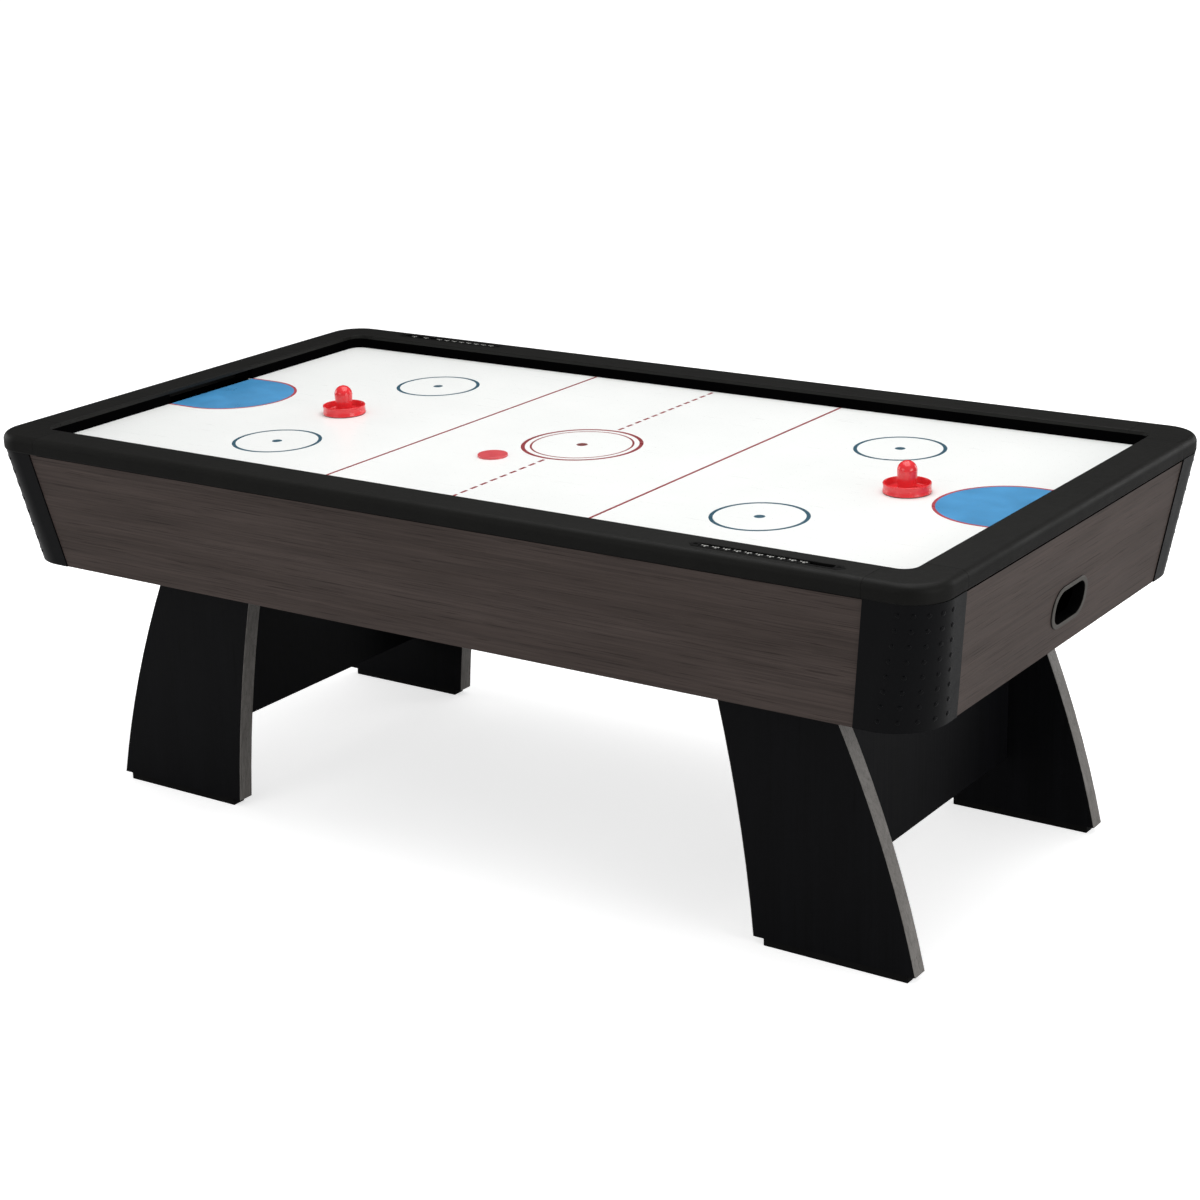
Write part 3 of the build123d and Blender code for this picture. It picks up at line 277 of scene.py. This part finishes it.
looks = {
    "rail": moulded("rail_black", dark=(0.0068, 0.0067, 0.0059), light=(0.0090, 0.0089, 0.0078),
                    rough=(0.5, 0.6), grain=700.0, bump=0.00007, spec=0.18),
    "rail_corner": moulded("rail_corner_black", dark=(0.0064, 0.0063, 0.0056),
                           light=(0.0085, 0.0084, 0.0074),
                           rough=(0.5, 0.6), grain=760.0, bump=0.00006, spec=0.17),
    "wall": moulded("wall_black", dark=(0.0009, 0.0009, 0.0010), light=(0.0014, 0.0014, 0.0015),
                    rough=(0.5, 0.65), grain=500.0, bump=0.00005, spec=0.0),
    "cap": moulded("corner_cap_black", dark=(0.0009, 0.0011, 0.0019),
                   light=(0.0016, 0.0018, 0.0028),
                   rough=(0.28, 0.38), grain=620.0, bump=0.00006, spec=0.16, sheen=0.055),
    "plastic": moulded("black_plastic", dark=grey(0.006), light=grey(0.009),
                       rough=(0.32, 0.46), grain=800.0, bump=0.00005, spec=0.35),
    "box": moulded("return_box_black", dark=grey(0.0010), light=grey(0.0016),
                   rough=(0.6, 0.75), grain=700.0, bump=0.00005, spec=0.0),
    "bezel": bezel("bezel_grey", dark=(0.088, 0.083, 0.075), light=(0.104, 0.098, 0.089),
                   bore_shade=grey(0.0015)),
    "tray": moulded("tray_black", dark=(0.0022, 0.0022, 0.0020), light=(0.0034, 0.0034, 0.0031),
                    rough=(0.42, 0.52), grain=900.0, bump=0.00004, spec=0.12),
    "apron_x": wood("apron_wood_x", "x", base=(0.087, 0.0665, 0.0600),
                    dark=(0.068, 0.0510, 0.0455), light=(0.103, 0.0800, 0.0720),
                    rough=(0.46, 0.6), spec=0.2),
    # The end aprons' wood is a lighter copy of the front and back wood: painted light, for the
    # right end lit from the side.
    "apron_end_lit": wood("apron_wood_y_lit", "y", base=(0.094, 0.0735, 0.0665),
                    dark=(0.074, 0.0570, 0.0510), light=(0.110, 0.0875, 0.0795),
                    rough=(0.46, 0.6), spec=0.2),
    "leg": wood("leg_black_laminate", "z", base=(0.0046, 0.0047, 0.0060),
                dark=(0.0036, 0.0037, 0.0048), light=(0.0062, 0.0063, 0.0078),
                rough=(0.5, 0.62), spec=0.14),
    "leg_edge": wood("leg_edge_band", "z", base=(0.235, 0.223, 0.211),
                     dark=(0.180, 0.169, 0.159), light=(0.295, 0.286, 0.273),
                     rough=(0.36, 0.5), spec=0.45),
    "board": wood("raw_board", "x", base=(0.42, 0.30, 0.19), dark=(0.32, 0.22, 0.13),
                  light=(0.52, 0.39, 0.26), rough=(0.6, 0.8), spec=0.3),
    "under": wood("underside_board", "x", base=(0.012, 0.0115, 0.011),
                  dark=(0.009, 0.0088, 0.0085), light=(0.016, 0.0155, 0.015),
                  rough=(0.5, 0.7), spec=0.3),
    "white": play_white("playing_white"),
    "red_ink": ink_and_hole_shade("ink_red", (0.30, 0.045, 0.052)),
    "crease_red": ink_and_hole_shade("ink_crease_red", (0.46, 0.060, 0.080)),
    "blue_ink": ink_and_hole_shade("ink_blue", (0.070, 0.300, 0.580)),
    "blue_line": ink_and_hole_shade("ink_blue_line", (0.036, 0.105, 0.152)),
    "dot_red": ink_and_hole_shade("ink_red_dot", (0.20, 0.045, 0.045)),
    # Air holes are grey discs on the field: painted shade for the dark inside of each hole.
    "hole": ink_and_hole_shade("air_hole_painted_shade", grey(0.42)),
    "steel": metal("zinc_steel", (0.62, 0.62, 0.63), rough=(0.25, 0.42)),
    "rod": metal("rod_steel", (0.70, 0.70, 0.71), rough=(0.18, 0.3)),
    "motor": metal("motor_can", (0.35, 0.36, 0.37), rough=(0.3, 0.45)),
    "bead": moulded("bead_black", dark=grey(0.0025), light=grey(0.004),
                    rough=(0.45, 0.55), grain=900.0, bump=0.00003, spec=0.12),
    # Grey for the bead bands and ticks: painted highlights on the black beads.
    "bead_band": moulded("bead_highlight_grey", dark=(0.30, 0.30, 0.285), light=(0.38, 0.38, 0.36),
                         rough=(0.4, 0.5), grain=900.0, bump=0.00003, spec=0.3),
    "red": gloss("mallet_red", dark=(0.70, 0.022, 0.030), light=(0.82, 0.036, 0.044),
                 rough=(0.2, 0.3), coat=0.28),
    "puck_red": gloss("puck_red", dark=(0.62, 0.06, 0.075), light=(0.72, 0.09, 0.10),
                      rough=(0.3, 0.42), coat=0.15, subsurface=0.06),
    "felt": felt("felt_dark", dark=(0.07, 0.012, 0.014), light=(0.11, 0.02, 0.022)),
    "rubber": moulded("foot_black", dark=grey(0.004), light=grey(0.006),
                      rough=(0.6, 0.8), grain=500.0, bump=0.0001, spec=0.2),
    "rocker": gloss("rocker_red", dark=(0.5, 0.02, 0.02), light=(0.6, 0.03, 0.03),
                    rough=(0.16, 0.28), coat=0.35),
}

# Look of each CAD piece: by whole name, otherwise by the first prefix that fits.
PIECE_LOOKS = {
    "apron_x": "apron_front apron_back",
    "white": "playing_surface",
    "board": "plenum_frame plenum_floor frame_blocks",
    "under": "cabinet_floor",
    "rod": "score_rods",
    "leg_edge": "leg_edging",
    "rubber": "foot_blocks power_cable",
    "leg": "cross_panel_left cross_panel_right leg_front_left leg_front_right "
           "leg_back_left leg_back_right",
    "steel": "leg_brackets leg_bolts cabinet_screws motor_shaft",
    "motor": "blower_motor",
    "plastic": "blower_housing impeller air_grille power_panel",
    "rocker": "power_rocker",
    "red": "mallet_left mallet_right",
    "puck_red": "puck",
    "felt": "mallet_left_felt mallet_right_felt",
}
PREFIX_LOOKS = (
    ("rail_corner", "rail_corner"), ("rail_", "rail"), ("puck_wall", "wall"),
    ("apron_corner", "cap"), ("apron_", "apron_end_lit"), ("score_tray", "tray"),
    ("score_bead", "bead"), ("puck_return", "box"), ("return_bezel", "bezel"),
)


def paint_pieces():
    by_name = {piece: look for look, names in PIECE_LOOKS.items() for piece in names.split()}
    for name, piece in nodes.items():
        look = by_name.get(name) or next(k for p, k in PREFIX_LOOKS if name.startswith(p))
        slots = piece.data.materials
        if not slots:
            slots.append(looks[look])
        for i in range(len(slots)):
            slots[i] = looks[look]


paint_pieces()


# -------------------------------------------------------------- mesh building
def add_object(name, data):
    obj = bpy.data.objects.new(name, data)
    bpy.context.scene.collection.objects.link(obj)
    return obj


def circle(x, y, radius, count):
    turns = [2 * math.pi * i / count for i in range(count)]
    return [(x + radius * math.cos(a), y + radius * math.sin(a)) for a in turns]


class Shape:
    """Vertices in millimetres and faces. levels is a (bottom, top) pair of heights."""

    def __init__(self):
        self.verts = []
        self.faces = []

    def skin(self, first, count, section_pairs):
        """Join pairs of closed sections, each of count vertices, numbered from first."""
        for s, t in section_pairs:
            near, far = first + s * count, first + t * count
            for i in range(count):
                j = (i + 1) % count
                self.faces.append((near + i, near + j, far + j, far + i))

    def slab(self, points, levels):
        """Closed flat prism on an outline."""
        count, first = len(points), len(self.verts)
        for z in levels:
            self.verts += [(x, y, z) for x, y in points]
        self.faces.append(tuple(first + i for i in reversed(range(count))))
        self.faces.append(tuple(first + count + i for i in range(count)))
        self.skin(first, count, [(0, 1)])

    def block(self, x_range, y_range, levels):
        (x0, x1), (y0, y1) = sorted(x_range), sorted(y_range)
        self.slab([(x0, y0), (x1, y0), (x1, y1), (x0, y1)], levels)

    def strip(self, outer, inner, levels, closed=True):
        """Band between two outlines of the same length."""
        count, first = len(outer), len(self.verts)
        low, high = levels
        for (ox, oy), (ix, iy) in zip(outer, inner):
            self.verts += [(ox, oy, low), (ox, oy, high), (ix, iy, high), (ix, iy, low)]
        for i in range(count if closed else count - 1):
            near, far = first + 4 * i, first + 4 * ((i + 1) % count)
            for k in range(4):
                j = (k + 1) % 4
                self.faces.append((near + k, far + k, far + j, near + j))
        if not closed:
            last = first + 4 * (count - 1)
            self.faces.append((first, first + 1, first + 2, first + 3))
            self.faces.append((last + 3, last + 2, last + 1, last))

    def ring(self, x, y, outer, inner, levels, count=128):
        self.strip(circle(x, y, outer, count), circle(x, y, inner, count), levels)

    def disc(self, x, y, radius, levels, count=64):
        self.slab(circle(x, y, radius, count), levels)

    def lathe(self, profile, place, count):
        """Revolve (radius, height) points that start and end on the axis.

        place maps local (x, y, height) to a point.
        """
        first, rings = len(self.verts), len(profile) - 2
        self.verts.append(place(0.0, 0.0, profile[0][1]))
        for radius, height in profile[1:-1]:
            self.verts += [place(x, y, height) for x, y in circle(0.0, 0.0, radius, count)]
        self.verts.append(place(0.0, 0.0, profile[-1][1]))
        last = first + 1 + rings * count

        def index(k, i):
            return first + 1 + (k - 1) * count + i % count

        for i in range(count):
            self.faces.append((first, index(1, i + 1), index(1, i)))
            for k in range(1, rings):
                self.faces.append((index(k, i), index(k, i + 1),
                                   index(k + 1, i + 1), index(k + 1, i)))
            self.faces.append((index(rings, i), index(rings, i + 1), last))

    def build(self, name, look, body="cabinet", slot="playing_white", smooth=False):
        mesh = bpy.data.meshes.new(name)
        mesh.from_pydata([tuple(c * MM for c in v) for v in self.verts], [], self.faces)
        mesh.validate()
        bm = bmesh.new()
        bm.from_mesh(mesh)
        bmesh.ops.recalc_face_normals(bm, faces=bm.faces)
        bm.to_mesh(mesh)
        bm.free()
        mesh.materials.append(looks[look])
        if smooth:
            mesh.polygons.foreach_set("use_smooth", [True] * len(mesh.polygons))
        obj = add_object(name, mesh)
        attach(obj, body)


# ------------------------------------------------------ printed field markings, air holes as painted shade
FIELD_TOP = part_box("playing_surface")[1][2] / MM
PRINT = (FIELD_TOP - 0.06, FIELD_TOP + 0.03)
HALF_LENGTH, HALF_WIDTH = 1057.0, 530.0     # opening inside the puck walls

LINE_X, LINE_HALF = 327.0, 3.4              # solid lines across the field
DASH_START, DASH_LENGTH, DASH_PITCH = 138.0, 21.0, 33.0     # centre line, along y
DASH_COUNT, DASH_HALF = 12, 3.6
CENTRE_RINGS = ((130.0, 121.5), (111.0, 106.5))             # outer, inner radius
CENTRE_DOT = 12.0
CREASE_X, CREASE_RADIUS, CREASE_LINE = 987.0, 145.0, 6.5    # arc centre, outer radius, width
CREASE_STEPS = 64
SPOT_X, SPOT_Y = 606, 283                   # blue circles
SPOT_OUTER, SPOT_INNER, SPOT_DOT = 97.0, 89.0, 11.0
HOLE_START, HOLE_PITCH, HOLE_COUNT = (-1041.0, -514.0), (25.39, 25.7), (83, 41)
HOLE_RADIUS = 0.5
HOLE_LEVELS = (FIELD_TOP - 0.05, FIELD_TOP + 0.04)


def red_lines():
    shape = Shape()
    for side in SIDES:
        x = side * LINE_X
        shape.block((x - LINE_HALF, x + LINE_HALF), (-HALF_WIDTH, HALF_WIDTH), PRINT)
    for side in SIDES:
        for i in range(DASH_COUNT):
            y = DASH_START + i * DASH_PITCH
            shape.block((-DASH_HALF, DASH_HALF), (side * y, side * (y + DASH_LENGTH)), PRINT)
    for outer, inner in CENTRE_RINGS:
        shape.ring(0, 0, outer, inner, PRINT)
    shape.build("marking_red_lines", "red_ink")


def crease_outline(side, radius):
    """Half circle towards the centre, run straight out to the end wall."""
    points = [(side * HALF_LENGTH, radius)]
    for i in range(CREASE_STEPS + 1):
        a = math.pi / 2 + math.pi * i / CREASE_STEPS
        points.append((side * (CREASE_X + radius * math.cos(a)), radius * math.sin(a)))
    return points + [(side * HALF_LENGTH, -radius)]


def creases():
    outline, fill = Shape(), Shape()
    for side in SIDES:
        inner = crease_outline(side, CREASE_RADIUS - CREASE_LINE)
        outline.strip(crease_outline(side, CREASE_RADIUS), inner, PRINT, closed=False)
        fill.slab(inner, PRINT)
    outline.build("marking_crease_outline", "crease_red")
    fill.build("marking_crease_fill", "blue_ink")


def circles_and_dot():
    shape = Shape()
    for side_x in SIDES:
        for side_y in SIDES:
            x, y = side_x * SPOT_X, side_y * SPOT_Y
            shape.ring(x, y, SPOT_OUTER, SPOT_INNER, PRINT)
            shape.disc(x, y, SPOT_DOT, PRINT)
    shape.build("marking_blue_circles", "blue_line")
    shape = Shape()
    shape.disc(0, 0, CENTRE_DOT, PRINT)
    shape.build("marking_centre_dot", "dot_red")


def air_holes():
    # Grey discs on top of the board: painted shade where each hole would be dark inside.
    shape = Shape()
    for i in range(HOLE_COUNT[0]):
        for j in range(HOLE_COUNT[1]):
            x = HOLE_START[0] + HOLE_PITCH[0] * i
            y = HOLE_START[1] + HOLE_PITCH[1] * j
            shape.disc(x, y, HOLE_RADIUS, HOLE_LEVELS, count=8)
    shape.build("air_holes", "hole")


red_lines()
creases()
circles_and_dot()
air_holes()

# ------------------------------------------------- corner studs and rail shadow strip
RAIL_BOTTOM = 814.0
APRON_X, APRON_Y = 1140.0, 608.0            # half size of the apron under the rail
APRON_HEIGHT = 253.0
LEAN_X, LEAN_Y = 37.0 / APRON_HEIGHT, 27.5 / APRON_HEIGHT   # inward lean per mm of drop
CORNER_RADIUS = 74.0                        # plan radius under the rail
CORNER_GROWTH = 27.0 / APRON_HEIGHT         # radius growth per mm of drop
STUD_PROUD = 2.6
STUD_TOP, STUD_PITCH, STUD_ROWS = 793.0, 30.0, 8
# Stud columns in degrees round the corner, where x and y signs differ and where they agree.
COLUMNS_DIFFER = (1.6, 21.6, 41.6, 61.7, 81.7)
COLUMNS_AGREE = (27.0, 44.0, 61.0)
# Stud section: radius, height.
STUD_PROFILE = [(0.0, -1.2), (4.8, -1.2), (4.8, 0.15), (4.55, 0.6),
                (3.8, 1.05), (2.6, 1.38), (1.3, 1.55), (0.0, 1.6)]

# A thin black strip under the rail's edge: painted shade for the shadow line there.
SHADOW_STRIP_IN, SHADOW_STRIP_OUT = 2.0, 0.9                # reach either side of the apron's top edge
SHADOW_STRIP_HALF_X, SHADOW_STRIP_HALF_Y = 1004.0, 484.0
SHADOW_STRIP_LEVELS = (811.8, 813.9)


def add_stud(shape, side_x, side_y, angle, z):
    """Domed stud square to the leaning, rounded corner cap."""
    drop = RAIL_BOTTOM - z
    radius = CORNER_RADIUS + CORNER_GROWTH * drop
    cos, sin = math.cos(angle), math.sin(angle)
    base = Vector((APRON_X - LEAN_X * drop - radius + (radius + STUD_PROUD) * cos,
                   APRON_Y - LEAN_Y * drop - radius + (radius + STUD_PROUD) * sin, z))
    rise = -LEAN_X * cos - LEAN_Y * sin + CORNER_GROWTH * (1.0 - cos - sin)
    normal = Vector((cos, sin, rise)).normalized()
    across = Vector((-sin, cos, 0)).normalized()
    upward = normal.cross(across).normalized()

    def place(x, y, height):
        p = base + across * x + upward * y + normal * height
        return (side_x * p.x, side_y * p.y, p.z)

    shape.lathe(STUD_PROFILE, place, count=20)


def corner_studs():
    shape = Shape()
    for side_x in SIDES:
        for side_y in SIDES:
            for degrees in COLUMNS_DIFFER if side_x * side_y < 0 else COLUMNS_AGREE:
                for row in range(STUD_ROWS):
                    z = STUD_TOP - STUD_PITCH * row
                    add_stud(shape, side_x, side_y, math.radians(degrees), z)
    shape.build("corner_studs", "cap", slot="corner_plastic", smooth=True)


def rail_shadow_strip():
    """Thin black strip between the rail and the aprons: painted shade for the shadow line under
    the rail.
    """
    shape = Shape()
    for side in SIDES:
        reach = (side * (APRON_Y - SHADOW_STRIP_IN), side * (APRON_Y + SHADOW_STRIP_OUT))
        shape.block((-SHADOW_STRIP_HALF_X, SHADOW_STRIP_HALF_X), reach, SHADOW_STRIP_LEVELS)
    for side in SIDES:
        reach = (side * (APRON_X - SHADOW_STRIP_IN), side * (APRON_X + SHADOW_STRIP_OUT))
        shape.block(reach, (-SHADOW_STRIP_HALF_Y, SHADOW_STRIP_HALF_Y), SHADOW_STRIP_LEVELS)
    shape.build("rail_shadow_strip", "wall", slot="corner_plastic")


corner_studs()
rail_shadow_strip()

# ------------------------------------------- grey bands and ticks on the beads: painted highlights
BEAD_Y, BEAD_Z = 577.0, 844.5               # bead axis, front and back
BEAD_ROW, BEAD_PITCH = 658.0, 22.6          # inner end of a row, spacing
# Band section: radius, offset along the bead. The last two points lie inside the bead.
BAND_PROFILE = ((5.45, -2.1), (5.85, -1.8), (5.95, 0.0), (5.85, 1.8), (5.45, 2.1),
                (5.3, 2.1), (5.3, -2.1))
BAND_COUNT = 40
TICKS = ((-7.4, -3.3), (3.3, 7.4))          # start, end along the bead
TICK_TOP, TICK_END_TOP, TICK_BASE, TICK_CHAMFER = 6.26, 6.0, 5.9, 0.3
TICK_DEGREES = range(72, 109, 6)


def bead_bands(name, centres, bead_y, body):
    shape = Shape()

    def add_point(x, radius, angle):
        shape.verts.append((x, bead_y + radius * math.cos(angle),
                            BEAD_Z + radius * math.sin(angle)))

    for centre in centres:
        first = len(shape.verts)
        for radius, offset in BAND_PROFILE:
            for i in range(BAND_COUNT):
                add_point(centre + offset, radius, 2 * math.pi * i / BAND_COUNT)
        sections = len(BAND_PROFILE)
        shape.skin(first, BAND_COUNT, [(s, (s + 1) % sections) for s in range(sections)])
        # Two short raised grey ticks on the top of the bead, either side of the band, as painted
        # highlights.
        for start, end in TICKS:
            first = len(shape.verts)
            for offset in (start, start + TICK_CHAMFER, end - TICK_CHAMFER, end):
                top = TICK_TOP if start < offset < end else TICK_END_TOP
                for degrees in TICK_DEGREES:
                    add_point(centre + offset, top, math.radians(degrees))
                for degrees in reversed(TICK_DEGREES):
                    add_point(centre + offset, TICK_BASE, math.radians(degrees))
            count = 2 * len(TICK_DEGREES)
            shape.skin(first, count, [(0, 1), (1, 2), (2, 3)])
            shape.faces.append(tuple(first + i for i in range(count)))
            shape.faces.append(tuple(first + 3 * count + i for i in reversed(range(count))))
    shape.build(name, "bead_band", body=body, slot="bead_black")


def bead_row(side, count):
    return [side * (BEAD_ROW + (i + 0.5) * BEAD_PITCH) for i in range(count)]


bead_bands("bead_bands_front", bead_row(1, 10), -BEAD_Y, "front_beads")
bead_bands("bead_band_back_1", [-906.4], BEAD_Y, "back_bead_1")
bead_bands("bead_band_back_2", [-869.9], BEAD_Y, "back_bead_2")
bead_bands("bead_bands_back", bead_row(-1, 8), BEAD_Y, "back_beads")

# ---------------------------------------------------- floor, world and lights
FLOOR_HALF = 40.0
# World brightness seen by camera, diffuse and glossy rays.
WORLD_CAMERA, WORLD_DIFFUSE, WORLD_GLOSSY = 1.0, 0.52, 0.08
# Area lights, all in metres: name, place, target, (width, height), watts.
LIGHTS = (
    ("top_soft", (0.3, 0.3, 4.2), (0, 0, 0.8), (4.6, 3.2), 122.0),
    ("right_soft", (5.2, -0.9, 1.7), (0.8, -0.1, 0.6), (2.4, 1.8), 56.0),
    ("front_soft", (-1.5, -5.5, 2.4), (0, 0, 0.6), (3.0, 1.8), 34.0),
    ("left_soft", (-5.4, -0.4, 1.5), (-0.8, 0, 0.6), (2.6, 1.8), 44.0),
    ("back_soft", (2.8, 5.0, 1.6), (0.8, 0, 0.6), (2.4, 1.8), 40.0),
)


def floor_material():
    """Pale floor that sends less light back at the table than it shows the camera."""
    s = Shader("floor_pale")
    cloud = s.noise(s.coords(), scale=1.2, detail=4.0, rough=0.5)
    pale = s.ramp(cloud, (0.3, grey(0.93)), (0.7, grey(0.95)))
    camera_ray = s.node("ShaderNodeLightPath").outputs["Is Camera Ray"]
    color = s.mix(camera_ray, grey(0.42), pale)
    s.feed(s.surface.inputs["Emission Strength"], camera_ray)
    s.feed(s.surface.inputs["Emission Color"], grey(0.62))
    return s.finish(color, 0.9, extra={"Specular IOR Level": 0.1})


def add_floor():
    mesh = bpy.data.meshes.new("studio_floor")
    h = FLOOR_HALF
    mesh.from_pydata([(-h, -h, 0), (h, -h, 0), (h, h, 0), (-h, h, 0)], [], [(0, 1, 2, 3)])
    floor = add_object("studio_floor", mesh)
    mesh.materials.append(floor_material())


def add_world():
    world = bpy.data.worlds.new("studio")
    bpy.context.scene.world = world
    world.use_nodes = True
    tree = world.node_tree
    background = next(n for n in tree.nodes if n.type == "BACKGROUND")
    background.inputs[0].default_value = (1, 1, 1, 1)
    rays = tree.nodes.new("ShaderNodeLightPath").outputs

    def multiply_add(flag, gain):
        node = tree.nodes.new("ShaderNodeMath")
        node.operation = "MULTIPLY_ADD"
        tree.links.new(flag, node.inputs[0])
        node.inputs[1].default_value = gain
        return node

    camera = multiply_add(rays["Is Camera Ray"], WORLD_CAMERA - WORLD_DIFFUSE)
    camera.inputs[2].default_value = WORLD_DIFFUSE
    glossy = multiply_add(rays["Is Glossy Ray"], WORLD_GLOSSY - WORLD_DIFFUSE)
    tree.links.new(camera.outputs[0], glossy.inputs[2])
    tree.links.new(glossy.outputs[0], background.inputs[1])


def add_light(name, place, target, size, power):
    light = bpy.data.lights.new(name, "AREA")
    light.shape = "RECTANGLE"
    light.size, light.size_y = size
    light.energy = power
    obj = add_object(name, light)
    obj.location = place
    aim = Vector(target) - Vector(place)
    obj.rotation_euler = aim.to_track_quat("-Z", "Y").to_euler()


add_floor()
add_world()
for row in LIGHTS:
    add_light(*row)

# --------------------------------------------------------------------- camera
YAW, PITCH, ROLL = -0.61, 0.3185, -0.0321   # radians: turn from +y, downward tilt, roll
CAMERA_PLACE = (2958.27, -4185.12, 2161.37)
SENSOR_WIDTH, LENS = 36.0, 74.9739


def add_camera():
    forward = Vector((math.sin(YAW) * math.cos(PITCH), math.cos(YAW) * math.cos(PITCH),
                      -math.sin(PITCH)))
    level = Vector((math.cos(YAW), -math.sin(YAW), 0))
    upright = level.cross(forward)
    right = level * math.cos(ROLL) + upright * math.sin(ROLL)
    up = -level * math.sin(ROLL) + upright * math.cos(ROLL)
    data = bpy.data.cameras.new("camera")
    data.sensor_width = SENSOR_WIDTH
    data.lens = LENS
    data.clip_start, data.clip_end = 0.05, 100.0
    camera = add_object("camera", data)
    pose = Matrix((right, up, -forward)).transposed().to_4x4()
    pose.translation = [c * MM for c in CAMERA_PLACE]
    camera.matrix_world = pose
    bpy.context.scene.camera = camera


add_camera()
bpy.context.scene.view_settings.view_transform = "Standard"
